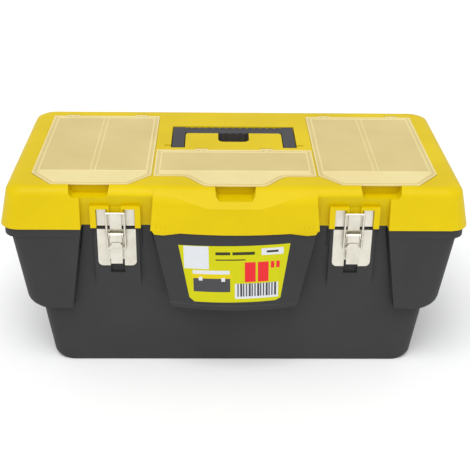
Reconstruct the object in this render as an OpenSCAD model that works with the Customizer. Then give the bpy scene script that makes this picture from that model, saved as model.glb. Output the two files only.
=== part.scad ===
// Plastic toolbox with a lift-out tray, two steel draw latches, a folding
// carry handle and three covered organisers in its lid. Millimetres, +Z up.
// The origin is the middle of the base on the floor, and -Y is the front.

/* [Overall] */
// Length over the lid's rim
body_l = 556; // [440:1:680]
// Depth over the lid's rim, without the front panel and the hinges
body_d = 276; // [228:1:340]
// Height of the closed box
body_h = 248; // [205:1:310]
// Height of the lid, from the parting line to the tops of the covers
lid_h = 52; // [46:1:70]

/* [Tub] */
// Wall of the tub
tub_wall = 3; // [2:0.1:4]
// How far the lid's rim stands out past the ends of the tub
rim_step = 9.5; // [5:0.5:12]
// How far the lid's rim stands out past the wings and the back of the tub
rim_step_y = 2; // [1:0.5:4]
// Height of the underside of the shoulders above the floor
shoulder_z = 84; // [60:1:110]
// Width of the ledge under the shoulders at each end
ledge_w = 13.5; // [8:0.5:25]
// Lean of the end walls
end_draft = 8; // [4:0.5:10]
// Lean of the shoulders' front and back walls
shoulder_draft = 3; // [1:0.5:5]
// Lean of the lower body's front and back walls
front_draft = 2.4; // [1:0.2:4]
// Radius of the tub's upright corners at the rim
tub_corner_r = 20; // [12:1:28]
// Radius of the rounded edge under the shoulders
shoulder_edge_r = 13; // [6:1:18]
// Radius of the rounded edge round the base
base_edge_r = 9; // [4:1:12]
// Height of the flange round the rim
flange_h = 11; // [8:1:16]
// How far the flange stands out from the end walls
flange_out = 5; // [3:0.5:7]

/* [Front] */
// Width of the front panel, which stands out in the middle
panel_w = 199; // [170:1:230]
// How far the foot of the front panel stands out past the lid's rim
panel_out = 13.5; // [8:0.5:18]
// Width of each latch bay
bay_w = 82; // [74:1:92]
// Depth of the latch bays behind the wings
bay_depth = 14; // [10:0.5:18]
// How much wider the bay is at the wing's foot than at the rim
wing_flare = 16; // [6:1:20]
// Height of the apron under the front panel
apron_h = 103; // [70:1:110]
// How much narrower each side of the apron is at its foot
apron_taper = 21; // [10:1:30]
// Bow of the front panel and of the apron's top edge
panel_bow = 11.5; // [4:0.5:14]
// Bow of the apron's foot
apron_bow = 11; // [4:1:14]
// Height of the crease across the front panel, above the parting line
crease_h = 32.5; // [26:0.5:38]
// Width of the label
label_w = 132; // [90:1:140]
// Height of the label
label_h = 77; // [50:1:85]
// Thickness of the label
label_t = 0.25; // [0.15:0.05:0.5]

/* [Lid] */
// Wall of the lid
lid_wall = 2.8; // [2:0.1:4]
// Lean of the lid's front and back
lid_draft = 7; // [3:0.5:9]
// Lean of the lid's ends
lid_end_draft = 12; // [6:0.5:14]
// Radius of the lid's upright corners at the rim
lid_corner_r = 24; // [16:1:30]
// Radius of the corners of the lid's top
lid_top_corner_r = 20; // [16:1:40]
// Radius of the rounded edge round the lid's top
lid_edge_r = 12; // [6:1:14]
// Depth of the organiser compartments
well_depth = 31; // [20:1:34]
// Thickness of the walls between and round the compartments
well_wall = 2.4; // [1.6:0.1:3]

/* [Covers] */
// Thickness of each organiser cover
cover_t = 1.7; // [1.2:0.1:2.5]
// Gap between neighbouring covers
cover_gap = 2.5; // [1.5:0.5:5]
// How far each side cover stays inside the lid's rim at the ends
cover_margin_end = 36; // [32:1:50]
// How far the side covers stay inside the rim at the back
cover_margin_back = 34; // [30:1:50]
// How far the side covers' front edges stay inside the rim
cover_margin_front = 43; // [38:1:55]
// How far each cover's tongue reaches past its front edge
tongue_l = 26; // [18:1:28]
// Depth of the front cover, without its tongue
front_cover_d = 81; // [60:1:90]
// Lip of lid on which each cover rests
cover_lip = 5; // [4:0.5:8]
// Radius of the covers' hinge barrels
barrel_r = 1.9; // [1.6:0.1:2.4]
// Width of each hinge ear on a cover
ear_w = 16; // [10:1:20]

/* [Handle] */
// Distance between the handle's arms
handle_gap = 127; // [100:1:140]
// Width of each arm
arm_w = 15.5; // [10:0.5:20]
// Length from the pivot to the far edge of the grip
handle_l = 66; // [60:1:70]
// Thickness of the handle
handle_t = 13; // [10:0.5:16]
// Depth of the grip, across the ribs
grip_d = 22; // [16:1:26]
// Radius of the handle's pivot stubs
stub_r = 3; // [2:0.1:4]
// Number of finger ribs on the grip
grip_ribs = 14; // [8:1:18]

/* [Latches] */
// Width of the latch's base plate
plate_w = 46; // [38:1:50]
// Height of the latch's base plate
plate_h = 49; // [44:1:60]
// Thickness of the latch's sheet steel
steel_t = 1.2; // [0.8:0.1:1.6]
// Width of the lever
lever_w = 14; // [10:0.5:16]
// Distance from the lever's pivot to its tip
lever_l = 35.5; // [30:0.5:42]
// Distance between the lever's pivot and the bail's eyes
toggle_l = 17.5; // [12:0.5:20]
// Diameter of the bail's wire
wire_d = 2.6; // [2:0.1:3.2]
// Diameter of the lever's pivot pin
lever_pin_d = 2.6; // [2:0.1:3.2]

/* [Hinges] */
// Length of each hinge
hinge_l = 62; // [40:1:80]
// Diameter of the hinge pins
hinge_pin_d = 3.2; // [2:0.1:4]
// Outer radius of the hinge knuckles
knuckle_r = 4.2; // [3:0.1:5]
// Distance of the hinge axis behind the lid's rim
hinge_out = 3; // [2:0.5:5]
// Distance of the outer hinges from the middle
hinge_x = 150; // [100:1:180]

/* [Tray] */
// Height of the tray's walls
tray_h = 58; // [40:1:70]
// Wall of the tray
tray_wall = 2.2; // [1.6:0.1:3]
// Length of the tray's grip
tray_grip_l = 120; // [90:1:150]
// Height of the tray's grip above its walls
tray_grip_h = 15; // [12:1:18]

/* [Hidden] */
$fn = 48;
// Gap between pieces that move past each other
gap = 0.3;
// Radial clearance of a pin in its bore
fit = 0.08;
// Thickness of the slabs that a tapered body is drawn over
skin = 0.02;
// How far a cut runs past the face that it opens
over = 1;
// Number of steps round a rounded corner and a rounded edge
corner_steps = 8;
edge_steps = 4;
// How far the tub's front and back bottom edges are broken
edge_break = 1;

yellow = [0.90, 0.80, 0.03];
dark_grey = [0.29, 0.29, 0.30];
milky = [0.95, 0.93, 0.85, 0.6];
steel = [0.85, 0.84, 0.80];
lime = [0.84, 0.85, 0.05];

// Heights
part_z = body_h - lid_h;
tub_top = part_z - gap;
cover_top = body_h;
cover_z = cover_top - cover_t;
cover_recess = 0.8;
lid_top = cover_z - gap + cover_recess;

// Tub: half lengths, and the depths of its front and back, at a height z
function shoulder_x(z) = body_l / 2 - rim_step - (part_z - z) * tan(end_draft);
function shoulder_y(z) = body_d / 2 - rim_step_y - (part_z - z) * tan(shoulder_draft);
function foot_x(z) = shoulder_x(z) - ledge_w;
function foot_y(z) = body_d / 2 - bay_depth - (part_z - z) * tan(front_draft);

// Lid: half length and half depth at a height z
function lid_x(z) = body_l / 2 - (z - part_z) * tan(lid_end_draft);
function lid_y(z) = body_d / 2 - (z - part_z) * tan(lid_draft);

// Latch bays
bay_y = -(body_d / 2 - bay_depth);
bay_inner = panel_w / 2;
bay_outer = bay_inner + bay_w;
latch_x = bay_inner + bay_w / 2;
bay_bend = part_z + 26;
bay_top = part_z + 45;
bay_lean = 4;
bay_top_lean = 10.5;

// Front panel and apron
panel_y = -(body_d / 2 + panel_out);
panel_lean = 2;
panel_taper = 3.3;
panel_foot_w = 36;
panel_foot_h = 4.5;
panel_foot_t = 1.6;
apron_inset = 2;
apron_z = part_z - apron_h;
apron_y = panel_y + apron_inset;
apron_foot_lean = 1;
label_z = part_z - 53.5;
label_narrowing = 11;
label_tilt = 1.2;
label_cut = 6;

// Hinge axis
hinge_y = body_d / 2 + hinge_out;
knuckle_n = 5;
knuckle_gap = 0.4;
knuckle_w = hinge_l / knuckle_n;
hinge_places = [-hinge_x, 0, hinge_x];

// Covers and the organisers under them
side_x0 = panel_w / 2;
side_x1 = body_l / 2 - cover_margin_end;
side_mid = (side_x0 + side_x1) / 2;
side_y0 = -(body_d / 2 - cover_margin_front);
side_y1 = body_d / 2 - cover_margin_back;
front_x = side_x0 - cover_gap;
front_y0 = side_y0 - 2;
front_y1 = front_y0 + front_cover_d;
ear_reach = 3.4;
ear_drop = 2;
ear_z = lid_top - ear_drop;
ear_stub_r = 1;
ear_stub_l = 2;
side_ear = 46;
front_ear = 41;
tongue_slant = 26;
skirt_t = 1.2;
skirt_h = 2.5;
skirt_gap = 0.6;
well_z = lid_top - well_depth;
notch_w = 48;
notch_h = 12;
notch_under = 6;
side_tongue_y = side_y0 - tongue_l;
front_tongue_y = front_y0 - tongue_l - 1.6;

// Handle
pivot_y = front_y1 + 18;
handle_z = lid_top - 0.6;
pivot_z = handle_z - handle_t / 2;
pivot_r = handle_t / 2;
arm_x = handle_gap / 2;
handle_x = arm_x + arm_w;
stub_l = 8.5;
handle_gap_side = 1.2;
recess_z = pivot_z - pivot_r - 4;
land_clear = 1.6;
scoop_w = 40;
scoop_d = 30;
scoop_r = 8;
land_r = 5;
scoop_z = recess_z - 9;

// Latch: the pad, the plate and the pivots
pad_w = plate_w + 8;
pad_y = bay_y - 2.5;
pad_top = part_z - 1.5;
plate_top = part_z - 4;
plate_z = plate_top - plate_h;
plate_corner_r = 6;
plate_y = pad_y - steel_t;
lever_pivot_z = plate_top - 6;
barrel_clear = 0.7;
lever_barrel_r = 3.8;
lever_pivot_y = plate_y - barrel_clear - lever_barrel_r;
ear_in = lever_w / 2 + 0.4;
lever_face = lever_pivot_y - 3;
eye_z = lever_pivot_z - toggle_l;
eye_y = lever_pivot_y + 0.4;
leg_x = ear_in + steel_t + 0.8 + wire_d / 2;
strike_y = bay_y - 4.8;
hook_top = part_z + 18.4;
hook_y = strike_y - 4.8;
frame_y = strike_y - 5.2;
frame_top = part_z + 28;
frame_bar = 6.7;
lug_x0 = 11;
lug_x1 = 22.4;
lug_top = part_z + 24;
bar_z = hook_top + wire_d / 2 + 0.6;
bar_y = frame_y - 0.6 - wire_d / 2;
recess_w = 17;
recess_h = 10;
plate_notch = 9;
tang_w = 6;
tang_x = 16;
tang_z = plate_z + 12;

// Tray
tray_top = part_z - 8;
tray_z = tray_top - tray_h;
tray_clear = 2.5;
tray_x = shoulder_x(tray_z) - tub_wall - tray_clear;
tray_y0 = -(foot_y(tray_z) - tub_wall - tray_clear);
tray_y1 = shoulder_y(tray_z) - tub_wall - tray_clear;
tray_mid = (tray_y0 + tray_y1) / 2;
tray_corner_r = tub_corner_r;
grip_r = 5;
grip_room = 24;
rest_t = 4;
rest_y = 60;

// Points of a rounded corner, and of a rectangle with four such corners
function corner(cx, cy, r, a) =
    [for (i = [0:corner_steps])
        let (t = a + 90 * i / corner_steps) [cx + r * cos(t), cy + r * sin(t)]];
function rounded(x0, x1, y0, y1, r) =
    concat(corner(x1 - r, y1 - r, r, 0), corner(x0 + r, y1 - r, r, 90),
           corner(x0 + r, y0 + r, r, 180), corner(x1 - r, y0 + r, r, 270));

module slab(x, y0, y1, r, z) {
    translate([0, 0, z])
        linear_extrude(skin)
            polygon(rounded(-x, x, y0, y1, r));
}

// A box given by its lowest and highest corners
module block(low, high) {
    translate(low)
        cube(high - low);
}

// A profile in Y and Z, drawn out along X
module along_x(x0, x1, points) {
    translate([x0, 0, 0])
        rotate([90, 0, 90])
            linear_extrude(x1 - x0)
                polygon(points);
}

// A profile in X and Z, drawn out along Y
module along_y(y0, y1, points) {
    translate([0, y1, 0])
        rotate([90, 0, 0])
            linear_extrude(y1 - y0)
                polygon(points);
}

module rod_x(x0, x1, y, z, r) {
    translate([x0, y, z])
        rotate([0, 90, 0])
            cylinder(r = r, h = x1 - x0);
}

// ---- Tub ----

// The lower body, which also forms the backs of the latch bays
module foot_form(in, low, high) {
    hull() {
        slab(foot_x(high) - in, -foot_y(high) + in, foot_y(high) - in, tub_corner_r - in, high);
        for (i = [0:edge_steps]) {
            a = 90 * i / edge_steps;
            z = low + base_edge_r * (1 - cos(a));
            side = in + base_edge_r * (1 - sin(a));
            front = in + (i == 0 ? edge_break : 0);
            slab(foot_x(z) - side, -foot_y(z) + front, foot_y(z) - front, tub_corner_r - in, z);
        }
    }
}

// The wide upper body, whose front corners are the wings
module shoulder_form(in, low, high) {
    hull() {
        slab(shoulder_x(high) - in, -shoulder_y(high) + in, shoulder_y(high) - in,
             tub_corner_r - in, high);
        for (i = [0:edge_steps]) {
            a = 90 * i / edge_steps;
            z = low + shoulder_edge_r * (1 - cos(a));
            side = in + shoulder_edge_r * (1 - sin(a));
            front = in + (i == 0 ? edge_break : 0);
            slab(shoulder_x(z) - side, -shoulder_y(z) + front, shoulder_y(z) - front,
                 tub_corner_r - in, z);
        }
    }
}

// The space in front of the latch bays, between the wings
module between_wings(in) {
    slope = wing_flare / (part_z - shoulder_z);
    top = bay_outer + in - over * slope;
    low = bay_outer + in + (part_z - shoulder_z + over) * slope;
    back = -foot_y(part_z) + in + over;
    back_low = -foot_y(shoulder_z) + in + over;
    intersection() {
        along_y(-body_d, 0, [[-top, part_z + over], [top, part_z + over],
                             [low, shoulder_z - over], [-low, shoulder_z - over]]);
        along_x(-body_l, body_l, [[-body_d, part_z + over], [back, part_z + over],
                                  [back_low, shoulder_z - over],
                                  [-body_d, shoulder_z - over]]);
    }
}

// Points of the apron's outline at one height, with its bowed front
function bowed(x, y, bow) =
    concat([for (i = [0:12]) let (t = -1 + i / 6) [x * t, y + bow * t * t]], [[x, 0], [-x, 0]]);

module apron_form(in, forward, low, high) {
    hull() {
        translate([0, -forward, high])
            linear_extrude(skin)
                polygon(bowed(bay_inner - apron_inset - in, apron_y + in, panel_bow));
        translate([0, -forward, low])
            linear_extrude(skin)
                polygon(bowed(bay_inner - apron_inset - apron_taper - in,
                              apron_y + apron_foot_lean + in, apron_bow));
    }
}

module tub_hollow() {
    foot_form(tub_wall, tub_wall, part_z + over);
    difference() {
        shoulder_form(tub_wall, shoulder_z + tub_wall, part_z + over);
        between_wings(tub_wall);
    }
    intersection() {
        apron_form(tub_wall, 0, apron_z + tub_wall, part_z + over);
        block([-body_l, -body_d, 0], [body_l, -foot_y(apron_z) + tub_wall + over, body_h]);
    }
}

// The flange that runs round the rim, except across the latch bays
module rim_flange() {
    x = shoulder_x(part_z) + flange_out;
    y = shoulder_y(part_z);
    difference() {
        translate([0, 0, tub_top - flange_h])
            linear_extrude(flange_h)
                polygon(rounded(-x, x, -y, y, tub_corner_r));
        between_wings(0);
    }
}

// Every other knuckle of each hinge, with the web that joins it to its wall
module knuckles(first, web_z0, web_z1) {
    for (x = hinge_places)
        for (i = [first:2:knuckle_n - 1]) {
            x0 = x - hinge_l / 2 + i * knuckle_w + knuckle_gap / 2;
            x1 = x0 + knuckle_w - knuckle_gap;
            rod_x(x0, x1, hinge_y, part_z, knuckle_r);
            block([x0, hinge_y - hinge_out - 4, web_z0], [x1, hinge_y, web_z1]);
        }
}

// Room for the other leaf's knuckles
module knuckle_room(first) {
    for (x = hinge_places)
        for (i = [first:2:knuckle_n - 1]) {
            x0 = x - hinge_l / 2 + i * knuckle_w - knuckle_gap / 2;
            rod_x(x0, x0 + knuckle_w + knuckle_gap, hinge_y, part_z, knuckle_r + 2 * gap);
        }
}

module hinge_bores(r) {
    for (x = hinge_places)
        rod_x(x - hinge_l / 2 - over, x + hinge_l / 2 + over, hinge_y, part_z, r);
}

// The raised pad behind one latch, with the finger recess under the lever
module latch_pad(x) {
    foot_z = plate_z - recess_h - 4;
    back_y = bay_y + tub_wall + over;
    difference() {
        along_x(x - pad_w / 2, x + pad_w / 2,
                [[pad_y, pad_top], [pad_y, foot_z], [back_y, foot_z - 3 * (back_y - pad_y)],
                 [back_y, pad_top]]);
        block([x - recess_w / 2, pad_y - over, plate_z - recess_h],
              [x + recess_w / 2, bay_y + 1.5, plate_z + plate_notch]);
    }
}

// Ribs that the tray stands on, up from the ledge at each end
module tray_rests() {
    inner = foot_x(shoulder_z) - tub_wall;
    bend_z = shoulder_z + shoulder_edge_r;
    for (s = [-1, 1])
        for (y = [-rest_y, rest_y])
            scale([s, 1, 1])
                along_y(y - rest_t / 2, y + rest_t / 2,
                        [[inner, shoulder_z + 1],
                         [shoulder_x(shoulder_z) - shoulder_edge_r, shoulder_z + 1],
                         [shoulder_x(bend_z) - 1, bend_z], [shoulder_x(tray_z) - 1, tray_z - gap],
                         [inner, tray_z - gap]]);
}

module tub() {
    color(dark_grey)
        difference() {
            union() {
                difference() {
                    union() {
                        foot_form(0, 0, tub_top - skin);
                        difference() {
                            shoulder_form(0, shoulder_z, tub_top - skin);
                            between_wings(0);
                        }
                        rim_flange();
                        apron_form(0, 0, apron_z, tub_top - skin);
                        latch_pad(-latch_x);
                        latch_pad(latch_x);
                    }
                    tub_hollow();
                }
                knuckles(0, part_z - 9, part_z);
                tray_rests();
            }
            knuckle_room(1);
            hinge_bores(hinge_pin_d / 2);
            for (x = [-latch_x, latch_x])
                for (s = [-1, 1])
                    block([x + s * tang_x - tang_w / 2 - gap, pad_y - over, tang_z - gap],
                          [x + s * tang_x + tang_w / 2 + gap, bay_y + 3 * tub_wall,
                           tang_z + steel_t + gap]);
        }
}

// The printed label's outline, a little askew
module label_prism() {
    translate([0, 0, label_z])
        rotate([0, -label_tilt, 0])
            along_y(panel_y - 5, bay_y,
                    [[-label_w / 2, label_h / 2], [label_w / 2, label_h / 2],
                     [label_w / 2 - label_narrowing, -label_h / 2 + label_cut / 2],
                     [label_w / 2 - label_narrowing - label_cut, -label_h / 2],
                     [-label_w / 2 + label_narrowing + label_cut, -label_h / 2],
                     [-label_w / 2 + label_narrowing, -label_h / 2 + label_cut]]);
}

module label() {
    color(lime)
        difference() {
            intersection() {
                apron_form(0, label_t, apron_z, tub_top - skin);
                label_prism();
            }
            apron_form(0, 0, apron_z, tub_top - skin);
        }
}

// ---- Lid ----

// The lid's outer or inner form, without the latch bays and the front panel
module lid_dome(in) {
    top = lid_top - in;
    shoulder = top - lid_edge_r;
    hull() {
        slab(lid_x(part_z) - in, -lid_y(part_z) + in, lid_y(part_z) - in, lid_corner_r - in,
             part_z - (in > 0 ? over : 0));
        for (i = [0:edge_steps]) {
            a = 90 * i / edge_steps;
            z = shoulder + lid_edge_r * sin(a) - skin;
            side = in + lid_edge_r * (1 - cos(a));
            slab(lid_x(shoulder) - side, -lid_y(shoulder) + side, lid_y(shoulder) - side,
                 lid_top_corner_r - in, z);
        }
    }
}

// The bays' walls lean forwards as they rise, and run out into the lid's front
module lid_bays(in) {
    near = bay_inner - panel_taper - 1.7 - in;
    far = bay_outer + in;
    for (s = [-1, 1])
        along_x(s > 0 ? near : -far, s > 0 ? far : -near,
                [[bay_y + in, part_z - 2 * over], [bay_y + in, part_z],
                 [bay_y - bay_lean + in, bay_bend], [bay_y - bay_top_lean + in, bay_top],
                 [bay_y - body_d, bay_top], [bay_y - body_d, part_z - 2 * over]]);
}

// The bowed front panel: upright below the crease, and sloping back above it
module front_panel(in) {
    low = part_z - (in > 0 ? over : 0);
    back_y = lid_edge_r - lid_y(lid_top);
    sections = [[low, bay_inner, panel_y, panel_bow],
                [part_z + crease_h - in / 2, bay_inner - panel_taper, panel_y + panel_lean,
                 panel_bow - 0.5],
                [lid_top - 3 - in, bay_inner - panel_taper - 0.6, back_y - 11.2, 0],
                [lid_top - 0.5 - in, bay_inner - panel_taper - 0.6, back_y - 5.7, 0],
                [lid_top - in, bay_inner - panel_taper - 0.6, back_y + in / 2, 0]];
    hull()
        for (p = sections)
            translate([0, 0, p[0]])
                linear_extrude(skin)
                    polygon(bowed(p[1] - in, p[2] + in, p[3]));
}

module lid_form(in) {
    difference() {
        lid_dome(in);
        lid_bays(in);
    }
    front_panel(in);
}

// Compartments as [x0, x1, y0, y1]
side_well = [side_x0 + cover_lip, side_x1 - cover_lip, side_y0 + cover_lip, side_y1 - cover_lip];
front_well = [-front_x + cover_lip, front_x - cover_lip, front_y0 + cover_lip,
              front_y1 - cover_lip];
function flipped(w) = [-w[1], -w[0], w[2], w[3]];
wells = [side_well, flipped(side_well), front_well];

module well(w, grow, low) {
    block([w[0] - grow, w[2] - grow, low], [w[1] + grow, w[3] + grow, lid_top + over]);
}

// Outline of a cover, from its hinge edge round to its tongue
module side_outline(s, grow) {
    g = grow;
    x0 = side_x0 - g;
    x1 = side_x1 + g;
    tongue_y = side_tongue_y - g;
    scale([s, 1])
        polygon([[x0, side_y1 + g], [x1, side_y1 + g], [x1, side_y0 + 5],
                 [x1 - tongue_slant, tongue_y], [x0 + tongue_slant, tongue_y], [x0, side_y0]]);
}

// The front cover's tongue runs out in an S-curve on each side
function s_curve(x0, x1, y0, y1) =
    [for (i = [0:8]) let (t = i / 8) [x0 + (x1 - x0) * t, y0 + (y1 - y0) * (1 - cos(180 * t)) / 2]];

module front_outline(grow) {
    g = grow;
    tongue_y = front_tongue_y - g;
    polygon(concat([[front_x + g, front_y1 + g], [front_x + g, front_y0 - g]],
                   s_curve(64 + g, 32 + g, front_y0 - g, tongue_y),
                   s_curve(-32 - g, -64 - g, tongue_y, front_y0 - g),
                   [[-front_x - g, front_y0 - g], [-front_x - g, front_y1 + g]]));
}

// Middles of the hinge ears as [x, y of the axis]
side_axis_y = side_y1 + ear_reach;
front_axis_y = front_y1 + ear_reach;
ears = [for (s = [-1, 1]) for (e = [-1, 1]) [s * side_mid + e * side_ear, side_axis_y],
        for (e = [-1, 1]) [e * front_ear, front_axis_y]];

// Pocket and stub bores for one hinge ear
module ear_pocket(p) {
    half = ear_w / 2 + gap;
    block([p[0] - half, p[1] - ear_reach - 2 - gap, ear_z - barrel_r - gap],
          [p[0] + half, p[1] + ear_reach + barrel_r, lid_top + over]);
    rod_x(p[0] - half - ear_stub_l - gap, p[0] + half + ear_stub_l + gap, p[1], ear_z,
          ear_stub_r + fit);
}

module ear_boss(p) {
    half = ear_w / 2 + gap + ear_stub_l + 2;
    block([p[0] - half, p[1] - ear_reach - 4.5, ear_z - barrel_r - 2.5],
          [p[0] + half, p[1] + ear_reach + barrel_r + 2, lid_top - gap]);
}

// The handle's tray, with the land that fills the space between its arms
module handle_recess() {
    x = handle_x + handle_gap_side;
    y0 = pivot_y - pivot_r - handle_gap_side;
    y1 = pivot_y + handle_l + handle_gap_side;
    land_x = arm_x - handle_gap_side;
    land_y = pivot_y + handle_l - grip_d - land_clear;
    difference() {
        block([-x, y0, recess_z], [x, y1, lid_top + over]);
        translate([0, 0, recess_z - over])
            linear_extrude(lid_top - recess_z + over)
                polygon(rounded(-land_x, land_x, y0 - 2 * land_r, land_y, land_r));
    }
    translate([0, 0, scoop_z])
        linear_extrude(lid_top + over - scoop_z)
            polygon(rounded(-scoop_w / 2, scoop_w / 2, land_y - scoop_d, y1 - 6, scoop_r));
}

module handle_box() {
    x = handle_x + handle_gap_side;
    block([-x - well_wall, pivot_y - pivot_r - handle_gap_side - well_wall, recess_z - well_wall],
          [x + well_wall, pivot_y + handle_l + handle_gap_side + well_wall, lid_top - over]);
    block([-scoop_w / 2 - well_wall, pivot_y + handle_l - grip_d - land_clear - scoop_d - well_wall,
           scoop_z - well_wall],
          [scoop_w / 2 + well_wall, pivot_y + handle_l, lid_top - over]);
    for (s = [-1, 1])
        block([s > 0 ? x : -x - stub_l - 2.5, pivot_y - pivot_r, recess_z - well_wall],
              [s > 0 ? x + stub_l + 2.5 : -x, pivot_y + pivot_r, lid_top - over]);
}

// Sockets for the handle's stubs, with the slots they snap in through
module handle_sockets() {
    x = handle_x + handle_gap_side;
    for (s = [-1, 1]) {
        x0 = s > 0 ? x - over : -x - stub_l;
        rod_x(x0, x0 + stub_l + over, pivot_y, pivot_z, stub_r + fit);
        block([x0, pivot_y - 1.6, pivot_z], [x0 + stub_l + over, pivot_y + 1.6, lid_top + over]);
    }
}

// The boss behind a strike plate, with the two raised frames beside it
module strike_holder(x) {
    block([x - lug_x1 - 1, strike_y, part_z + 1], [x + lug_x1 + 1, bay_y + over, lug_top + 2]);
    for (s = [-1, 1]) {
        near = lug_x0 - 4;
        far = lug_x1 + 0.4;
        edge = far + frame_bar;
        block([x + (s > 0 ? far : -edge), frame_y, part_z + gap],
              [x + (s > 0 ? edge : -far), bay_y + over, frame_top]);
        block([x + (s > 0 ? near : -edge), frame_y, lug_top + 0.4],
              [x + (s > 0 ? edge : -near), bay_y + over, frame_top]);
        block([x + (s > 0 ? near : -near - 1.8), frame_y, part_z + 18],
              [x + (s > 0 ? near + 1.8 : -near), bay_y + over, frame_top]);
    }
}

// Finger notches in the lid's front under the covers' tongues
module finger_notch(x, y0, y1) {
    half = notch_w / 2;
    low = lid_top - notch_h;
    translate([x, 0, 0])
        along_y(y0, y1, [[-half, lid_top + over], [-half + 1.5, low + 4], [-half + 5, low],
                         [half - 5, low], [half - 1.5, low + 4], [half, lid_top + over]]);
}

module finger_notches() {
    for (x = [-side_mid, side_mid])
        finger_notch(x, -body_d / 2, side_tongue_y + notch_under);
    finger_notch(0, panel_y, front_tongue_y + notch_under);
}

// Feet at the front panel's bottom corners, which hang over the apron
function foot_point(s, i, y) =
    let (x = bay_inner - 0.5 - panel_foot_w * i / 6)
        [s * x, panel_y + y + panel_bow * pow(x / bay_inner, 2)];

module panel_feet() {
    x = bay_inner;
    low = part_z - panel_foot_h;
    for (s = [-1, 1])
        intersection() {
            translate([0, 0, low])
                linear_extrude(panel_foot_h + lid_wall)
                    polygon(concat([for (i = [0:6]) foot_point(s, i, 0.3)],
                                   [for (i = [6:-1:0]) foot_point(s, i, panel_foot_t)]));
            along_y(-body_d, 0,
                    [[s * (x - 1.5), part_z + 2], [s * (x - 1.5), part_z], [s * (x - 4.5), low],
                     [s * (x - 15), low], [s * (x - panel_foot_w), part_z],
                     [s * (x - panel_foot_w), part_z + 2]]);
        }
}

module notch_box(x, y0, tongue_y) {
    block([x - notch_w / 2 - well_wall, y0, lid_top - notch_h - well_wall],
          [x + notch_w / 2 + well_wall, tongue_y + notch_under + well_wall, lid_top - gap]);
}

module lid() {
    color(yellow)
        difference() {
            union() {
                difference() {
                    lid_form(0);
                    lid_form(lid_wall);
                }
                intersection() {
                    lid_form(0);
                    union() {
                        for (w = wells)
                            well(w, well_wall, well_z - well_wall);
                        for (p = ears)
                            ear_boss(p);
                        handle_box();
                        notch_box(0, panel_y, front_tongue_y);
                        for (x = [-side_mid, side_mid])
                            notch_box(x, -body_d / 2, side_tongue_y);
                    }
                }
                panel_feet();
                strike_holder(-latch_x);
                strike_holder(latch_x);
                knuckles(1, part_z, part_z + 9);
            }
            for (w = wells)
                difference() {
                    well(w, 0, well_z);
                    if (w[0] * w[1] > 0)
                        block([(w[0] + w[1]) / 2 - well_wall / 2, w[2] - over, well_z - over],
                              [(w[0] + w[1]) / 2 + well_wall / 2, w[3] + over,
                               lid_top - cover_recess]);
                }
            translate([0, 0, lid_top - cover_recess])
                linear_extrude(cover_recess + over) {
                    side_outline(1, gap);
                    side_outline(-1, gap);
                    front_outline(gap);
                }
            for (p = ears)
                ear_pocket(p);
            handle_recess();
            handle_sockets();
            finger_notches();
            knuckle_room(0);
            hinge_bores(hinge_pin_d / 2 + fit);
        }
}

// ---- Hinge pins ----

module hinge_pin(x) {
    color(steel)
        rod_x(x - hinge_l / 2, x + hinge_l / 2, hinge_y, part_z, hinge_pin_d / 2);
}

module hinge_pin_left() {
    hinge_pin(-hinge_x);
}

module hinge_pin_centre() {
    hinge_pin(0);
}

module hinge_pin_right() {
    hinge_pin(hinge_x);
}

// ---- Carry handle ----

module carry_handle() {
    grip_y1 = pivot_y + handle_l;
    grip_y0 = grip_y1 - grip_d;
    pitch = handle_gap / grip_ribs;
    rib_r = pitch * 0.42;
    color(dark_grey) {
        for (s = [-1, 1]) {
            x0 = s > 0 ? arm_x : -handle_x;
            rod_x(x0, x0 + arm_w, pivot_y, pivot_z, pivot_r);
            block([x0, pivot_y, pivot_z - pivot_r], [x0 + arm_w, grip_y1, handle_z]);
            rod_x(s > 0 ? handle_x : -handle_x - stub_l, s > 0 ? handle_x + stub_l : -handle_x,
                  pivot_y, pivot_z, stub_r);
        }
        block([-arm_x, grip_y0 + 2, pivot_z - pivot_r], [arm_x, grip_y1 - 2, handle_z - 0.6]);
        for (i = [0:grip_ribs - 1])
            for (y = [grip_y0 + rib_r, grip_y1 - rib_r])
                translate([-arm_x + (i + 0.5) * pitch, y, pivot_z - pivot_r])
                    cylinder(r = rib_r, h = handle_t - 0.4);
    }
}

// ---- Organiser covers ----

// The hinge ears of a cover, with the stubs they turn on
module cover_ears(x, half_space, axis_y) {
    for (e = [-1, 1]) {
        x0 = x + e * half_space - ear_w / 2;
        rod_x(x0, x0 + ear_w, axis_y, ear_z, barrel_r);
        rod_x(x0 - ear_stub_l, x0 + ear_w + ear_stub_l, axis_y, ear_z, ear_stub_r);
        block([x0, axis_y - ear_reach - 2, ear_z + 0.7], [x0 + ear_w, axis_y + 0.4, cover_top]);
    }
}

// The rim under a cover that locates it in its compartment
module cover_skirt(w) {
    difference() {
        block([w[0] + skirt_gap, w[2] + skirt_gap, cover_z - skirt_h],
              [w[1] - skirt_gap, w[3] - skirt_gap, cover_z]);
        block([w[0] + skirt_gap + skirt_t, w[2] + skirt_gap + skirt_t, cover_z - skirt_h - over],
              [w[1] - skirt_gap - skirt_t, w[3] - skirt_gap - skirt_t, cover_z + over]);
        if (w[0] * w[1] > 0)
            block([(w[0] + w[1]) / 2 - well_wall, w[2], cover_z - skirt_h - over],
                  [(w[0] + w[1]) / 2 + well_wall, w[3], cover_z - gap]);
    }
}

module side_cover(s) {
    color(milky) {
        translate([0, 0, cover_z])
            linear_extrude(cover_t)
                side_outline(s, 0);
        cover_skirt(s > 0 ? side_well : flipped(side_well));
        cover_ears(s * side_mid, side_ear, side_axis_y);
    }
}

module organiser_cover_left() {
    side_cover(-1);
}

module organiser_cover_right() {
    side_cover(1);
}

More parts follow.
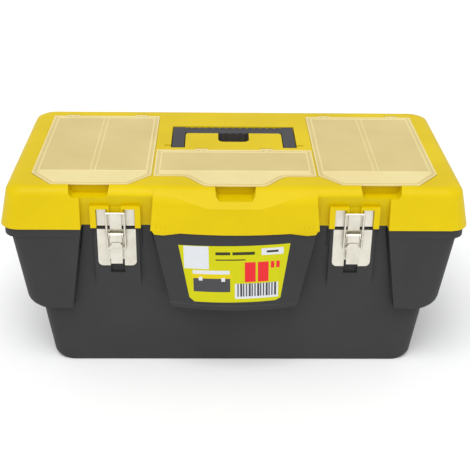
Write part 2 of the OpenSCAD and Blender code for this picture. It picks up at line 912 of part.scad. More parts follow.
module organiser_cover_front() {
    color(milky) {
        translate([0, 0, cover_z])
            linear_extrude(cover_t)
                front_outline(0);
        cover_skirt(front_well);
        cover_ears(0, front_ear, front_axis_y);
    }
}

// ---- Strike plates ----

module strike_plate(x) {
    low = part_z + 1.6;
    color(steel) {
        block([x - lug_x1, strike_y - steel_t, low], [x + lug_x1, strike_y, part_z + 17]);
        for (s = [-1, 1])
            block([x + (s > 0 ? lug_x0 : -lug_x1), strike_y - steel_t, low],
                  [x + (s > 0 ? lug_x1 : -lug_x0), strike_y, lug_top]);
        along_x(x - lever_w / 2, x + lever_w / 2,
                [[strike_y, low + 1], [strike_y, low - 2], [strike_y - steel_t, low - 3.6],
                 [strike_y - 3.2, low - 3.6], [strike_y - 3.6, low - 2],
                 [strike_y - 3.4, hook_top - 7], [hook_y, hook_top - 0.6],
                 [hook_y + 1, hook_top], [strike_y - 2.4, hook_top - 6],
                 [strike_y - 2.4, low - 1.4], [strike_y - steel_t, low - 1.4],
                 [strike_y - steel_t, low + 1]]);
    }
}

module strike_plate_left() {
    strike_plate(-latch_x);
}

module strike_plate_right() {
    strike_plate(latch_x);
}

// ---- Latch base plates, with the ears that hold the lever's pin ----

module latch_plate(x) {
    r = plate_corner_r;
    ear_r = 4;
    half = plate_w / 2;
    notch = recess_w / 2;
    notch_top = plate_z + plate_notch;
    color(steel)
        difference() {
            union() {
                along_y(plate_y, pad_y,
                        concat([[x + half, plate_top], [x - half, plate_top]],
                               corner(x - half + r, plate_z + r, r, 180),
                               [[x - notch, plate_z], [x - notch, notch_top],
                                [x + notch, notch_top], [x + notch, plate_z]],
                               corner(x + half - r, plate_z + r, r, 270)));
                for (s = [-1, 1]) {
                    x0 = x + (s > 0 ? ear_in : -ear_in - steel_t);
                    along_x(x0, x0 + steel_t,
                            concat(corner(lever_pivot_y, lever_pivot_z, ear_r, 90),
                                   corner(lever_pivot_y, lever_pivot_z, ear_r, 180),
                                   [[plate_y + steel_t / 2, lever_pivot_z - ear_r],
                                    [plate_y + steel_t / 2, lever_pivot_z + ear_r]]));
                    x1 = x + s * tang_x;
                    block([x1 - tang_w / 2, plate_y + steel_t / 2, tang_z],
                          [x1 + tang_w / 2, bay_y + 2 * tub_wall, tang_z + steel_t]);
                }
            }
            rod_x(x - half, x + half, lever_pivot_y, lever_pivot_z, lever_pin_d / 2);
        }
}

module latch_plate_left() {
    latch_plate(-latch_x);
}

module latch_plate_right() {
    latch_plate(latch_x);
}

module lever_pin(x) {
    half = ear_in + steel_t + 0.4;
    color(steel)
        rod_x(x - half, x + half, lever_pivot_y, lever_pivot_z, lever_pin_d / 2);
}

module lever_pin_left() {
    lever_pin(-latch_x);
}

module lever_pin_right() {
    lever_pin(latch_x);
}

// ---- Levers: a rolled barrel, a web with two flanges, and a lipped tip ----

module latch_lever(x) {
    tip_z = lever_pivot_z - lever_l;
    flange_back = lever_pivot_y + 2.4;
    color(steel)
        difference() {
            union() {
                rod_x(x - lever_w / 2, x + lever_w / 2, lever_pivot_y, lever_pivot_z, lever_barrel_r);
                along_x(x - lever_w / 2, x + lever_w / 2,
                        [[lever_face, lever_pivot_z], [lever_face, tip_z + 4],
                         [lever_face - 1.6, tip_z], [lever_face - 0.6, tip_z - 0.4],
                         [lever_face + steel_t, tip_z + 3.6],
                         [lever_face + steel_t, lever_pivot_z]]);
                for (s = [-1, 1])
                    along_x(x + (s > 0 ? lever_w / 2 - steel_t : -lever_w / 2),
                            x + (s > 0 ? lever_w / 2 : -lever_w / 2 + steel_t),
                            [[lever_face, lever_pivot_z], [lever_face, tip_z + 6],
                             [flange_back, eye_z - 4], [flange_back, lever_pivot_z - 2]]);
            }
            rod_x(x - lever_w, x + lever_w, lever_pivot_y, lever_pivot_z, lever_pin_d / 2 + fit);
            rod_x(x - lever_w, x + lever_w, eye_y, eye_z, wire_d / 2 + fit);
        }
}

module latch_lever_left() {
    latch_lever(-latch_x);
}

module latch_lever_right() {
    latch_lever(latch_x);
}

// ---- Wire bails ----

module latch_bail(x) {
    r = wire_d / 2;
    lean = atan2(eye_y - bar_y, bar_z - eye_z);
    leg = norm([bar_y - eye_y, bar_z - eye_z]);
    color(steel) {
        rod_x(x - leg_x, x + leg_x, bar_y, bar_z, r);
        for (s = [-1, 1]) {
            translate([x + s * leg_x, eye_y, eye_z]) {
                rotate([lean, 0, 0])
                    cylinder(r = r, h = leg);
                sphere(r = r);
            }
            translate([x + s * leg_x, bar_y, bar_z])
                sphere(r = r);
            inner = lever_w / 2 - steel_t - 0.6;
            rod_x(x + (s > 0 ? inner : -leg_x), x + (s > 0 ? leg_x : -inner), eye_y, eye_z, r);
        }
    }
}

module latch_bail_left() {
    latch_bail(-latch_x);
}

module latch_bail_right() {
    latch_bail(latch_x);
}

// ---- Tray ----

module tray() {
    spine_t = 3;
    lift = tray_top + tray_grip_h;
    floor_z = tray_z + tray_wall;
    cells = [[tray_y0 + tray_wall, tray_mid - spine_t / 2, 3],
             [tray_mid + spine_t / 2, tray_y1 - tray_wall, 2]];
    inner = tray_x - tray_wall;
    color(dark_grey) {
        difference() {
            translate([0, 0, tray_z])
                linear_extrude(tray_h)
                    polygon(rounded(-tray_x, tray_x, tray_y0, tray_y1, tray_corner_r));
            intersection() {
                translate([0, 0, floor_z])
                    linear_extrude(tray_h)
                        polygon(rounded(-inner, inner, tray_y0 + tray_wall, tray_y1 - tray_wall,
                                        tray_corner_r - tray_wall));
                union()
                    for (c = cells) {
                        step = 2 * inner / c[2];
                        for (i = [0:c[2] - 1])
                            block([-inner + i * step + (i > 0 ? tray_wall / 2 : 0), c[0], floor_z],
                                  [-inner + (i + 1) * step - (i < c[2] - 1 ? tray_wall / 2 : 0),
                                   c[1], body_h]);
                    }
            }
            block([-tray_grip_l / 2 + 2 * grip_r, tray_mid - 16, tray_top - grip_room],
                  [tray_grip_l / 2 - 2 * grip_r, tray_mid + 16, body_h]);
        }
        rod_x(-tray_grip_l / 2, tray_grip_l / 2, tray_mid, lift - grip_r, grip_r);
        for (s = [-1, 1])
            block([s > 0 ? tray_grip_l / 2 - 2 * grip_r : -tray_grip_l / 2, tray_mid - grip_r * 0.8,
                   tray_top - 6],
                  [s > 0 ? tray_grip_l / 2 : -tray_grip_l / 2 + 2 * grip_r,
                   tray_mid + grip_r * 0.8, lift - grip_r]);
    }
}

tub();
lid();
label();
tray();
carry_handle();
hinge_pin_left();
hinge_pin_centre();
hinge_pin_right();
organiser_cover_left();
organiser_cover_right();
organiser_cover_front();
strike_plate_left();
strike_plate_right();
latch_plate_left();
latch_plate_right();
lever_pin_left();
lever_pin_right();
latch_lever_left();
latch_lever_right();
latch_bail_left();
latch_bail_right();
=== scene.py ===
import math

import bpy
from mathutils import Matrix, Vector


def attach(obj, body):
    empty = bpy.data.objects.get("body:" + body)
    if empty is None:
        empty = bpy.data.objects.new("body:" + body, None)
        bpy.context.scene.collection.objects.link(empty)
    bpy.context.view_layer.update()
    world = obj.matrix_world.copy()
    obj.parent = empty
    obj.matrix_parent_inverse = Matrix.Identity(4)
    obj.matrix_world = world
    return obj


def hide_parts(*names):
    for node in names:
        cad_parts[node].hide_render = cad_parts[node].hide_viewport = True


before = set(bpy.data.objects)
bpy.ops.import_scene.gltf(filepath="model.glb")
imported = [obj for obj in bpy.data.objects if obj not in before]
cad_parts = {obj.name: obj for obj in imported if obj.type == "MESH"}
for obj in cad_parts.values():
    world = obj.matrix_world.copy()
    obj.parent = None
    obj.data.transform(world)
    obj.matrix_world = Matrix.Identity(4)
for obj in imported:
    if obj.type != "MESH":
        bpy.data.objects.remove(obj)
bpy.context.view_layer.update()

# ---------------------------------------------------------------------------
# Camera, floor and light
# Someone standing over the bench looks down on the front of the box. The floor
# is a roll of matt white paper, lit from above the viewer by a large soft lamp.
# ---------------------------------------------------------------------------


def shown(hex_colour):
    """Linear RGBA of an sRGB hex colour."""
    parts = [int(hex_colour[i:i + 2], 16) / 255 for i in (1, 3, 5)]
    linear = [c / 12.92 if c <= 0.04045 else ((c + 0.055) / 1.055) ** 2.4 for c in parts]
    return (*linear, 1.0)


def new_material(name, **settings):
    """A node material with those values on its shader's sockets; its tree and its shader."""
    made = bpy.data.materials.new(name)
    made.use_nodes = True
    shader = next(n for n in made.node_tree.nodes if n.type == "BSDF_PRINCIPLED")
    for key, value in settings.items():
        shader.inputs[key.replace("_", " ")].default_value = value
    return made, made.node_tree, shader


def deselect():
    """Leaves edit mode, with nothing selected."""
    if bpy.context.object and bpy.context.object.mode != "OBJECT":
        bpy.ops.object.mode_set(mode="OBJECT")
    bpy.ops.object.select_all(action="DESELECT")


# Where the camera stands, in metres, and how it is turned
camera_place = (-0.02276, -1.18422, 0.72418)
camera_pitch = math.radians(27.045)
camera_yaw = math.radians(1.243)
camera_roll = math.radians(0.779)
camera_data = bpy.data.cameras.new("camera")
camera_data.sensor_width = 36
camera_data.lens = 76.44
camera_data.clip_end = 20
camera = bpy.data.objects.new("camera", camera_data)
bpy.context.collection.objects.link(camera)
camera.matrix_world = (Matrix.Translation(camera_place)
                       @ Matrix.Rotation(-camera_yaw, 4, "Z")
                       @ Matrix.Rotation(math.pi / 2 - camera_pitch, 4, "X")
                       @ Matrix.Rotation(camera_roll, 4, "Z"))
bpy.context.scene.camera = camera
bpy.context.scene.view_settings.view_transform = "Standard"

deselect()
bpy.ops.mesh.primitive_plane_add(size=14, location=(0, 0, 0))
floor = bpy.context.object
floor.name = "paper_floor"
# Uncoated paper: white and matt, with hardly any sheen
paper, _, _ = new_material("matt_white_paper", Base_Color=shown("#f6f6f5"), Roughness=0.9,
                           Specular_IOR_Level=0.1)
floor.data.materials.append(paper)

studio = bpy.data.worlds.new("studio")
bpy.context.scene.world = studio
studio.use_nodes = True
surround = studio.node_tree.nodes["Background"]
surround.inputs["Color"].default_value = shown("#fbfcff")
surround.inputs["Strength"].default_value = 0.64


def soft_lamp(name, toward, spread, strength):
    """A distant lamp that shines from that direction. The spread, in degrees, is how wide it
    looks from the box, so a wide one gives soft shadows."""
    lamp = bpy.data.lights.new(name, "SUN")
    lamp.angle = math.radians(spread)
    lamp.energy = strength
    made = bpy.data.objects.new(name, lamp)
    bpy.context.collection.objects.link(made)
    made.rotation_euler = Vector(toward).to_track_quat("Z", "Y").to_euler()


soft_lamp("key_lamp", (-0.12, -0.5, 1.0), 50, 1.95)
soft_lamp("front_lamp", (0.25, -1.0, 0.45), 60, 0.34)

# ---------------------------------------------------------------------------
# Tub
# One injection moulding in dark grey polypropylene. Its walls lean with the
# draft that lets it leave the mould, and every edge is broken by a small radius.
# ---------------------------------------------------------------------------

MM = 0.001


def working_copy(node, name, body):
    """A new piece from a CAD solid: doubles merged, flat faces joined up, in that body."""
    deselect()
    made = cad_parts[node].copy()
    made.data = made.data.copy()
    made.name = made.data.name = name
    made.parent = None
    made.matrix_world = Matrix.Identity(4)
    bpy.context.collection.objects.link(made)
    made.data.materials.clear()
    bpy.context.view_layer.objects.active = made
    made.select_set(True)
    bpy.ops.object.mode_set(mode="EDIT")
    bpy.ops.mesh.select_all(action="SELECT")
    bpy.ops.mesh.remove_doubles(threshold=0.01 * MM)
    bpy.ops.mesh.dissolve_limited(angle_limit=math.radians(0.5))
    bpy.ops.object.mode_set(mode="OBJECT")
    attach(made, body)
    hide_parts(node)
    return made


def soften(piece, radius, sharp=35):
    """Rounds the edges that turn by more than that many degrees, and smooths the shading
    between the faces. The normals are weighted by area, so that large faces look flat."""
    deselect()
    bpy.context.view_layer.objects.active = piece
    piece.select_set(True)
    rounding = piece.modifiers.new("rounding", "BEVEL")
    rounding.width = radius
    rounding.segments = 2
    rounding.limit_method = "ANGLE"
    rounding.angle_limit = math.radians(sharp)
    bpy.ops.object.modifier_apply(modifier="rounding")
    bpy.ops.object.shade_smooth_by_angle(angle=math.radians(32))
    weighting = piece.modifiers.new("weighting", "WEIGHTED_NORMAL")
    weighting.keep_sharp = True
    bpy.ops.object.modifier_apply(modifier="weighting")


def add_node(tree, kind, sockets=None, links=None, **settings):
    """Adds a node with its settings, its sockets' values and the links into its sockets."""
    node = tree.nodes.new(kind)
    for key, value in settings.items():
        setattr(node, key, value)
    for key, value in (sockets or {}).items():
        node.inputs[key].default_value = value
    for key, source in (links or {}).items():
        tree.links.new(source, node.inputs[key])
    return node


def moulded(name, light, dark, gloss, grain, relief):
    """Moulded polypropylene. Flow clouds a hand wide shift its colour by a shade, the mould's
    eroded grain breaks up the gloss, and shallow sink marks bend the highlights. The real grain
    is about 0.1 mm; it is drawn that many mm across, so that it shows."""
    made, tree, shader = new_material(name, IOR=1.49, Specular_IOR_Level=0.14)
    place = add_node(tree, "ShaderNodeTexCoord").outputs["Object"]
    flow = add_node(tree, "ShaderNodeTexNoise", {"Scale": 11.0, "Detail": 4.0}, {"Vector": place})
    shade = add_node(tree, "ShaderNodeValToRGB", None, {"Fac": flow.outputs["Fac"]})
    shade.color_ramp.elements[0].position = 0.35
    shade.color_ramp.elements[0].color = shown(dark)
    shade.color_ramp.elements[1].position = 0.62
    shade.color_ramp.elements[1].color = shown(light)
    tree.links.new(shade.outputs["Color"], shader.inputs["Base Color"])
    eroded = add_node(tree, "ShaderNodeTexNoise", {"Scale": 1000 / grain, "Detail": 2.0},
                      {"Vector": place})
    polish = add_node(tree, "ShaderNodeMapRange", {"To Min": gloss - 0.07, "To Max": gloss + 0.07},
                      {"Value": eroded.outputs["Fac"]})
    tree.links.new(polish.outputs["Result"], shader.inputs["Roughness"])
    sink = add_node(tree, "ShaderNodeTexNoise", {"Scale": 28.0, "Detail": 1.0}, {"Vector": place})
    waves = add_node(tree, "ShaderNodeBump", {"Strength": 0.25, "Distance": 0.6 * MM},
                     {"Height": sink.outputs["Fac"]})
    relief_node = add_node(tree, "ShaderNodeBump", {"Strength": relief, "Distance": 0.12 * MM},
                           {"Height": eroded.outputs["Fac"], "Normal": waves.outputs["Normal"]})
    tree.links.new(relief_node.outputs["Normal"], shader.inputs["Normal"])
    return made


def carve(piece, cutter, how="DIFFERENCE"):
    """Takes the cutter's shape out of the piece, or adds it, and removes the cutter."""
    deselect()
    bpy.context.view_layer.objects.active = piece
    piece.select_set(True)
    cut = piece.modifiers.new("cut", "BOOLEAN")
    cut.operation = how
    cut.solver = "EXACT"
    cut.object = cutter
    bpy.ops.object.modifier_apply(modifier="cut")
    bpy.data.objects.remove(cutter)


def bar(x, y, z, size, lean=0.0):
    """A rectangular cutter at that middle, in mm. Its top leans towards +X by that angle."""
    deselect()
    bpy.ops.mesh.primitive_cube_add(size=1, location=(x * MM, y * MM, z * MM),
                                    rotation=(0, lean, 0), scale=[v * MM for v in size])
    bpy.ops.object.transform_apply(location=True, rotation=True, scale=True)
    return bpy.context.object


def select_faces(piece, wanted):
    """In edit mode, selects the faces for which wanted(centre in mm, normal) is true."""
    bpy.ops.object.mode_set(mode="OBJECT")
    bpy.context.tool_settings.mesh_select_mode = (False, False, True)
    for face in piece.data.polygons:
        face.select = bool(wanted(face.center / MM, face.normal))
    for edge in piece.data.edges:
        edge.select = False
    for vertex in piece.data.vertices:
        vertex.select = False
    bpy.ops.object.mode_set(mode="EDIT")


def slot_between(low, high, y, width, depth):
    """A cutter along the line between two points (x, z) in mm, for a narrow slot in a wall."""
    x, z = (low[0] + high[0]) / 2, (low[1] + high[1]) / 2
    run, rise = high[0] - low[0], high[1] - low[1]
    return bar(x, y, z, (width, depth, math.hypot(run, rise)), math.atan2(run, rise))


# Slots where the mould's side cores meet: each as its low and high end (x, z), its place
# in Y, its width and its depth, all in mm. Each has a twin on the other side.
WING_SLOT = ((195.4, 88.0), (180.5, 194.0), -122.6, 1.7, 6.0)
APRON_SLOT = ((78.9, 99.0), (100.0, 194.0), -123.4, 1.7, 5.0)
LATCH_PAD_SLOT = ((110.2, 169.0), (110.2, 193.0), -124.0, 1.3, 5.0)
# The apron's face lies in front of this plane. Its foot flares out in a low band.
APRON_PLANE = -136.5
APRON_FOOT = 93.0
FLARE_H = 5.5
FLARE_OUT = 1.2
FLARE_TOP = APRON_FOOT + FLARE_H


def on_apron(centre, normal):
    """True for a face on the apron's front."""
    return normal.y < -0.9 and centre.y < APRON_PLANE


tub = working_copy("tub", "tub_body", "tub")
for s in (-1, 1):
    for low, high, y, width, depth in (WING_SLOT, APRON_SLOT, LATCH_PAD_SLOT):
        carve(tub, slot_between((s * low[0], low[1]), (s * high[0], high[1]), y, width, depth))
# The slope into the flare is as high as the flare is deep
for cut_z in (FLARE_TOP + FLARE_OUT, FLARE_TOP):
    select_faces(tub, on_apron)
    bpy.ops.mesh.bisect(plane_co=(0, 0, cut_z * MM), plane_no=(0, 0, 1))
select_faces(tub, lambda c, n: on_apron(c, n) and c.z < FLARE_TOP)
bpy.ops.transform.translate(value=(0, -FLARE_OUT * MM, 0))
bpy.ops.mesh.select_mode(type="VERT")
bpy.ops.object.mode_set(mode="OBJECT")
soften(tub, 0.9 * MM)
grey_plastic = moulded("eroded_grey_polypropylene", "#3a3a3b", "#363637", 0.55, 1.1, 0.5)
tub.data.materials.append(grey_plastic)

# ---------------------------------------------------------------------------
# Lid
# One injection moulding in yellow polypropylene, polished smoother than the tub,
# with the open organiser trays and the handle's recess sunk into its top.
# ---------------------------------------------------------------------------

# Small vents above each foot of the front panel: their places in X, with the panel's own
# place in Y there, as it bows back towards its ends
VENT_Y = {81.0: -143.8, 86.5: -142.7, 92.0: -141.5}
VENT_Z = 203.0
VENT_SIZE = (1.0, 1.4, 7.0)

lid = working_copy("lid", "lid_shell", "lid")
for s in (-1, 1):
    for x, y in VENT_Y.items():
        carve(lid, bar(s * x, y, VENT_Z, VENT_SIZE))
soften(lid, 1.0 * MM)
yellow_plastic = moulded("polished_yellow_polypropylene", "#d8bd00", "#d0b500", 0.42, 1.4, 0.25)
lid.data.materials.append(yellow_plastic)

# ---------------------------------------------------------------------------
# Organiser covers
# Three flaps moulded in natural polypropylene, milky, which snap into the lid at
# their ears. A groove and a bead run round inside each rim, and beads mark the
# walls that stand under them.
# ---------------------------------------------------------------------------


def milky(name, colour, through):
    """Natural polypropylene: light scatters in it like thin milk, so what lies under it shows
    only as a tint. Its skin has a soft gloss, with a faint ripple 2 mm across. The colour is a
    dark and a light tone, with the yellow of the lid and the shade of the wells under the cover
    painted into it."""
    made, tree, shader = new_material(name, IOR=1.49, Specular_IOR_Level=0.3,
                                      Transmission_Weight=through)
    place = add_node(tree, "ShaderNodeTexCoord").outputs["Object"]
    haze = add_node(tree, "ShaderNodeTexNoise", {"Scale": 16.0, "Detail": 3.0}, {"Vector": place})
    tint = add_node(tree, "ShaderNodeValToRGB", None, {"Fac": haze.outputs["Fac"]})
    tint.color_ramp.elements[0].position = 0.3
    tint.color_ramp.elements[0].color = shown(colour[0])
    tint.color_ramp.elements[1].position = 0.7
    tint.color_ramp.elements[1].color = shown(colour[1])
    tree.links.new(tint.outputs["Color"], shader.inputs["Base Color"])
    skin = add_node(tree, "ShaderNodeTexNoise", {"Scale": 500.0, "Detail": 1.0},
                    {"Vector": place})
    gloss = add_node(tree, "ShaderNodeMapRange", {"To Min": 0.3, "To Max": 0.45},
                     {"Value": skin.outputs["Fac"]})
    tree.links.new(gloss.outputs["Result"], shader.inputs["Roughness"])
    bump = add_node(tree, "ShaderNodeBump", {"Strength": 0.2, "Distance": 0.1 * MM},
                    {"Height": skin.outputs["Fac"]})
    tree.links.new(bump.outputs["Normal"], shader.inputs["Normal"])
    return made


# The rim's colour has the lid's yellow, seen through the cover, painted into it. The window's
# colour is darker, partly for the thinner plastic and partly as painted shade of the wells under
# it.
rim_milky_with_painted_lid_tint = milky("milky_rim_with_painted_lid_yellow", ("#e3d192", "#e9d99c"), 0.06)
window_milky_with_painted_shade = milky("milky_window_with_painted_well_shade", ("#d3be7c", "#dac685"), 0.1)

# The cover's top, from its edge inwards: rim, groove, bead, and the field in the middle.
# Each step between them takes 0.3 mm.
COVER_TOP = 248.0
RIM = 1.8
STEP = 0.3
GROOVE = 3.4
GROOVE_DROP = 0.45
BEAD = 1.5
BEAD_RISE = 0.35
FIELD_Z = COVER_TOP - BEAD_RISE
# Across the field: a bead each side of a divider's middle, this far off, and a bead along
# the front wall, whose back edge is here. The tongue lies in front of it.
DIVIDER_BEAD = 2.2
BEAD_SIDE = 0.25
FRONT_BEAD = -81.0
# Middle of a side cover, where the wall between its two compartments stands
SIDE_DIVIDER = 170.75


def cut_across(piece, wanted, axis, places):
    """Cuts the faces wanted along planes square to that axis, at those places in mm."""
    for at in places:
        select_faces(piece, wanted)
        point, normal = Vector((0, 0, 0)), Vector((0, 0, 0))
        point[axis], normal[axis] = at * MM, 1
        bpy.ops.mesh.bisect(plane_co=point, plane_no=normal)


def in_field(centre, normal):
    """True for a face of the sunk field inside a cover's beads."""
    return normal.z > 0.99 and abs(centre.z - FIELD_Z) < 0.05


def is_thin_with_painted_shade(centre, normal):
    """True where the cover is thin and takes the darker window colour, which stands partly for the
    thinner plastic and partly for painted shade of the wells under it: its groove, and the field
    behind the front bead."""
    return (normal.z > 0.99 and COVER_TOP - 0.6 < centre.z < COVER_TOP - 0.2
            and (centre.y > FRONT_BEAD or centre.z < FIELD_Z - 0.05))


def organiser_cover(node, name, body, dividers):
    """A cover with its rim, groove and beads. The dividers are the places in X of the walls
    that stand under it, in mm."""
    cover = working_copy(node, name, body)
    select_faces(cover, lambda c, n: n.z > 0.99 and c.z > COVER_TOP - 0.1)
    for width, rise in ((RIM, 0), (STEP, -GROOVE_DROP), (GROOVE, 0), (STEP, GROOVE_DROP),
                        (BEAD, 0), (STEP, -BEAD_RISE)):
        bpy.ops.mesh.inset(thickness=width * MM, depth=rise * MM)

    starts = [at for d in dividers for at in (d - DIVIDER_BEAD - BEAD, d + DIVIDER_BEAD)]
    cut_across(cover, in_field, 0, [x for at in starts for x in (at, at + BEAD)])
    cut_across(cover, in_field, 1, [FRONT_BEAD - BEAD, FRONT_BEAD])
    for at in starts:
        select_faces(cover, lambda c, n: in_field(c, n) and at < c.x < at + BEAD
                     and c.y > FRONT_BEAD)
        bpy.ops.mesh.inset(thickness=BEAD_SIDE * MM, depth=BEAD_RISE * MM)
    select_faces(cover, lambda c, n: in_field(c, n) and FRONT_BEAD - BEAD < c.y < FRONT_BEAD)
    bpy.ops.mesh.inset(thickness=BEAD_SIDE * MM, depth=BEAD_RISE * MM)

    # These thin faces take the window colour, with its painted shade of the wells under the cover.
    select_faces(cover, is_thin_with_painted_shade)
    bpy.ops.object.mode_set(mode="OBJECT")
    cover.data.materials.append(rim_milky_with_painted_lid_tint)
    cover.data.materials.append(window_milky_with_painted_shade)
    for face in cover.data.polygons:
        face.material_index = 1 if face.select else 0
    soften(cover, 0.15 * MM, sharp=40)


organiser_cover("organiser_cover_left", "milky_cover_left", "cover_left", [-SIDE_DIVIDER])
organiser_cover("organiser_cover_right", "milky_cover_right", "cover_right", [SIDE_DIVIDER])
organiser_cover("organiser_cover_front", "milky_cover_front", "cover_front", [])

# ---------------------------------------------------------------------------
# Carry handle
# One moulding in grey polypropylene, a little lighter than the tub. Its grip is
# ribbed along both edges, and a stub at the foot of each arm snaps into the lid.
# ---------------------------------------------------------------------------

# The raised oval ring that the mould leaves on the right arm, in mm
MARK_PLACE = Vector((71.2, 14.0, 246.1)) * MM
MARK_RING_R = 3.6
MARK_LINE_R = 0.4

handle = working_copy("carry_handle", "handle_bail", "handle")
soften(handle, 0.7 * MM)
handle_grey = moulded("satin_grey_polypropylene", "#454548", "#404043", 0.46, 1.2, 0.4)
handle.data.materials.append(handle_grey)

deselect()
bpy.ops.mesh.primitive_torus_add(major_segments=40, minor_segments=10, location=MARK_PLACE,
                                 major_radius=MARK_RING_R * MM, minor_radius=MARK_LINE_R * MM)
mark = bpy.context.object
mark.name = mark.data.name = "mould_mark"
bpy.ops.object.mode_set(mode="EDIT")
bpy.ops.transform.resize(value=(1, 1.5, 0.8), center_override=MARK_PLACE)
bpy.ops.object.mode_set(mode="OBJECT")
bpy.ops.object.transform_apply(location=True, rotation=True, scale=True)
bpy.ops.object.shade_smooth()
mark.data.materials.append(handle_grey)
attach(mark, "handle")

# ---------------------------------------------------------------------------
# Latches
# Draw latches pressed from 1.2 mm steel and nickel-plated: a base plate with
# two ears, a lever that pulls a wire bail, and a hooked strike on the lid.
# ---------------------------------------------------------------------------


def nickel(name, gloss):
    """Bright nickel on pressed steel: a warm white metal. The strip's rolling lines run up
    and down, 0.6 mm apart, and smear its reflections a little."""
    made, tree, shader = new_material(name, Metallic=1.0)
    place = add_node(tree, "ShaderNodeTexCoord").outputs["Object"]
    stretch = add_node(tree, "ShaderNodeMapping", {"Scale": (1.0, 1.0, 0.06)}, {"Vector": place})
    rolled = add_node(tree, "ShaderNodeTexNoise", {"Scale": 1600.0, "Detail": 2.0},
                      {"Vector": stretch.outputs["Vector"]})
    plated = add_node(tree, "ShaderNodeTexNoise", {"Scale": 60.0, "Detail": 3.0},
                      {"Vector": place})
    tone = add_node(tree, "ShaderNodeValToRGB", None, {"Fac": plated.outputs["Fac"]})
    tone.color_ramp.elements[0].position = 0.3
    tone.color_ramp.elements[0].color = shown("#d6d1c2")
    tone.color_ramp.elements[1].position = 0.7
    tone.color_ramp.elements[1].color = shown("#e6e2d6")
    tree.links.new(tone.outputs["Color"], shader.inputs["Base Color"])
    smear = add_node(tree, "ShaderNodeMapRange", {"To Min": gloss - 0.06, "To Max": gloss + 0.08},
                     {"Value": rolled.outputs["Fac"]})
    tree.links.new(smear.outputs["Result"], shader.inputs["Roughness"])
    bump = add_node(tree, "ShaderNodeBump", {"Strength": 0.15, "Distance": 0.05 * MM},
                    {"Height": rolled.outputs["Fac"]})
    tree.links.new(bump.outputs["Normal"], shader.inputs["Normal"])
    return made


# Middles of the latches, and the lever's flat face. The lever's barrel has a flat pressed
# on it down to the slot, its sides are notched, and its tip is dished for the thumb.
LATCHES = {"left": -140.5, "right": 140.5}
LEVER_FACE = -135.2
FLAT_SIZE = (13.4, 2.4, 9.0)
FLAT_Z = 183.4
FLAT_PROUD = 0.8
SLOT_SIZE = (11.6, 3.2, 1.0)
SLOT_Z = 178.3
NOTCH_SIZE = (3.0, 8.0, 3.4)
NOTCH_X = 7.0
NOTCH_Z = 176.4
THUMB_R = 8.0
THUMB_DEPTH = 0.9
THUMB_Z = 167.5

nickel_plate = nickel("bright_nickel_on_steel", 0.4)

for side, latch_x in LATCHES.items():
    plate = working_copy("latch_plate_" + side, "latch_base_" + side, "tub")
    soften(plate, 0.3 * MM)
    strike = working_copy("strike_plate_" + side, "strike_" + side, "lid")
    soften(strike, 0.3 * MM)
    bail = working_copy("latch_bail_" + side, "wire_bail_" + side, "bail_" + side)
    soften(bail, 0.05 * MM, sharp=60)

    lever = working_copy("latch_lever_" + side, "pressed_lever_" + side, "lever_" + side)
    flat_y = LEVER_FACE - FLAT_PROUD + FLAT_SIZE[1] / 2
    carve(lever, bar(latch_x, flat_y, FLAT_Z, FLAT_SIZE), "UNION")
    carve(lever, bar(latch_x, LEVER_FACE, SLOT_Z, SLOT_SIZE))
    for edge in (-NOTCH_X, NOTCH_X):
        carve(lever, bar(latch_x + edge, LEVER_FACE, NOTCH_Z, NOTCH_SIZE))
    deselect()
    thumb_y = LEVER_FACE + THUMB_DEPTH - THUMB_R
    bpy.ops.mesh.primitive_uv_sphere_add(segments=48, ring_count=24, radius=THUMB_R * MM,
                                         location=(latch_x * MM, thumb_y * MM, THUMB_Z * MM))
    thumb = bpy.context.object
    bpy.ops.object.transform_apply(location=True, rotation=True, scale=True)
    carve(lever, thumb)
    soften(lever, 0.25 * MM)
    for piece in (plate, strike, bail, lever):
        piece.data.materials.append(nickel_plate)

# ---------------------------------------------------------------------------
# Label
# A film label on the apron, printed in lime with white, red and dark blocks in
# place of words, a picture of the box and a bar code. It is stuck on, not sunk.
# ---------------------------------------------------------------------------


def ink(name, colour):
    """Ink on a glossy film: an even colour, with a faint mottle from the printing screen."""
    made, tree, shader = new_material(name, Roughness=0.32, IOR=1.5, Specular_IOR_Level=0.2)
    place = add_node(tree, "ShaderNodeTexCoord").outputs["Object"]
    screen = add_node(tree, "ShaderNodeTexNoise", {"Scale": 350.0, "Detail": 1.0},
                      {"Vector": place})
    depth = add_node(tree, "ShaderNodeValToRGB", None, {"Fac": screen.outputs["Fac"]})
    depth.color_ramp.elements[0].color = [0.93 * c for c in shown(colour)[:3]] + [1]
    depth.color_ramp.elements[1].color = shown(colour)
    tree.links.new(depth.outputs["Color"], shader.inputs["Base Color"])
    return made


INKS = {"lime": "#c9c600", "white": "#d6d9dc", "dark": "#36361e", "red": "#e02a30",
        "yellow": "#d9c400", "grey": "#464648"}
LABEL_MIDDLE = (0.0, 142.5)
LABEL_TILT = math.radians(1.2)
# Each block is (ink, left, right, bottom, top) in mm from the label's middle, along its tilt
BLOCKS = [("white", -60, -30.5, 7.5, 38), ("dark", -22.5, -5, 26.5, 30.5),
          ("dark", -2.5, 24, 26.5, 30.5), ("dark", -22.5, 13, 19.2, 20.8),
          ("white", 32, 58, 25.5, 34.5), ("dark", 38, 52, 28.6, 31.4),
          ("red", 12, 25, -10.5, 16.5), ("red", 27.5, 40.5, -10.5, 16.5),
          ("red", 43, 47.2, 7.5, 16.5), ("red", 49.4, 53.6, 7.5, 16.5),
          ("white", -50, -6, 0.5, 5.5), ("yellow", -52, -3, -5.5, 0.5),
          ("grey", -49.5, -5.5, -24, -5.5), ("white", -43, -38.5, -8.5, -3.5),
          ("white", -16, -11.5, -9.5, -4.5), ("white", 0, 52, -33.5, -12.5)]
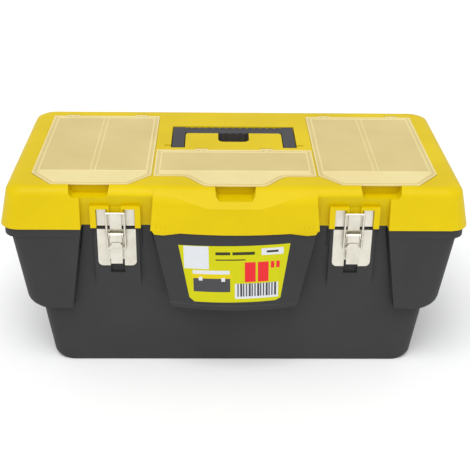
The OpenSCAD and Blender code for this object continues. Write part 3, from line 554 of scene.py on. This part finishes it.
# The bar code: every third bar is a wide one
BAR_COUNT = 14
BAR_PITCH = 3.4
NARROW_BAR = 1.6
WIDER_BY = 0.9
BLOCKS += [("grey", 3 + BAR_PITCH * i,
            3 + NARROW_BAR + BAR_PITCH * i + (WIDER_BY if i % 3 == 1 else 0), -30.5, -12.5)
           for i in range(BAR_COUNT)]

label = working_copy("label", "printed_label", "tub")
bpy.ops.object.mode_set(mode="EDIT")
bpy.ops.mesh.select_mode(type="FACE")
across = Vector((math.cos(LABEL_TILT), 0, math.sin(LABEL_TILT)))
upward = Vector((-math.sin(LABEL_TILT), 0, math.cos(LABEL_TILT)))
middle = Vector((LABEL_MIDDLE[0], 0, LABEL_MIDDLE[1]))
for direction, places in ((across, {p for b in BLOCKS for p in b[1:3]}),
                          (upward, {p for b in BLOCKS for p in b[3:5]})):
    for at in sorted(places):
        bpy.ops.mesh.select_all(action="SELECT")
        bpy.ops.mesh.bisect(plane_co=(middle + at * direction) * MM, plane_no=direction)
bpy.ops.object.mode_set(mode="OBJECT")
names = list(INKS)
for name in names:
    label.data.materials.append(ink("film_ink_" + name, INKS[name]))
for face in label.data.polygons:
    offset = face.center / MM - middle
    u, v = offset.dot(across), offset.dot(upward)
    if face.normal.y > -0.5:
        continue
    for name, left, right, bottom, top in BLOCKS:
        if left < u < right and bottom < v < top:
            face.material_index = names.index(name)

# ---------------------------------------------------------------------------
# Lift-out tray
# A grey polypropylene tray with three pockets in front and two long ones
# behind, which stands on ribs inside the tub and lifts out by its round grip.
# ---------------------------------------------------------------------------

tray = working_copy("tray", "lift_out_tray", "tray")
soften(tray, 0.6 * MM)
tray.data.materials.append(moulded("eroded_tray_polypropylene", "#3e3e40", "#39393b", 0.55, 1.2,
                                   0.5))

# ---------------------------------------------------------------------------
# Pins
# The hinge pins and the levers' pins are cut from drawn steel wire and pressed
# into the tub's knuckles and the latches' ears.
# ---------------------------------------------------------------------------


def drawn_steel():
    """Drawn steel wire: bare grey metal. The die's marks run along it, 0.4 mm apart, and dull
    its gloss in streaks."""
    made, tree, shader = new_material("drawn_steel_wire", Metallic=1.0,
                                      Base_Color=shown("#b4b2ac"))
    place = add_node(tree, "ShaderNodeTexCoord").outputs["Object"]
    stretch = add_node(tree, "ShaderNodeMapping", {"Scale": (0.05, 1.0, 1.0)},
                       {"Vector": place})
    drawing = add_node(tree, "ShaderNodeTexNoise", {"Scale": 2500.0, "Detail": 2.0},
                       {"Vector": stretch.outputs["Vector"]})
    dull = add_node(tree, "ShaderNodeMapRange", {"To Min": 0.3, "To Max": 0.5},
                    {"Value": drawing.outputs["Fac"]})
    tree.links.new(dull.outputs["Result"], shader.inputs["Roughness"])
    return made


wire_steel = drawn_steel()
for node in ("hinge_pin_left", "hinge_pin_centre", "hinge_pin_right", "lever_pin_left",
             "lever_pin_right"):
    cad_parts[node].material_slots[0].material = wire_steel
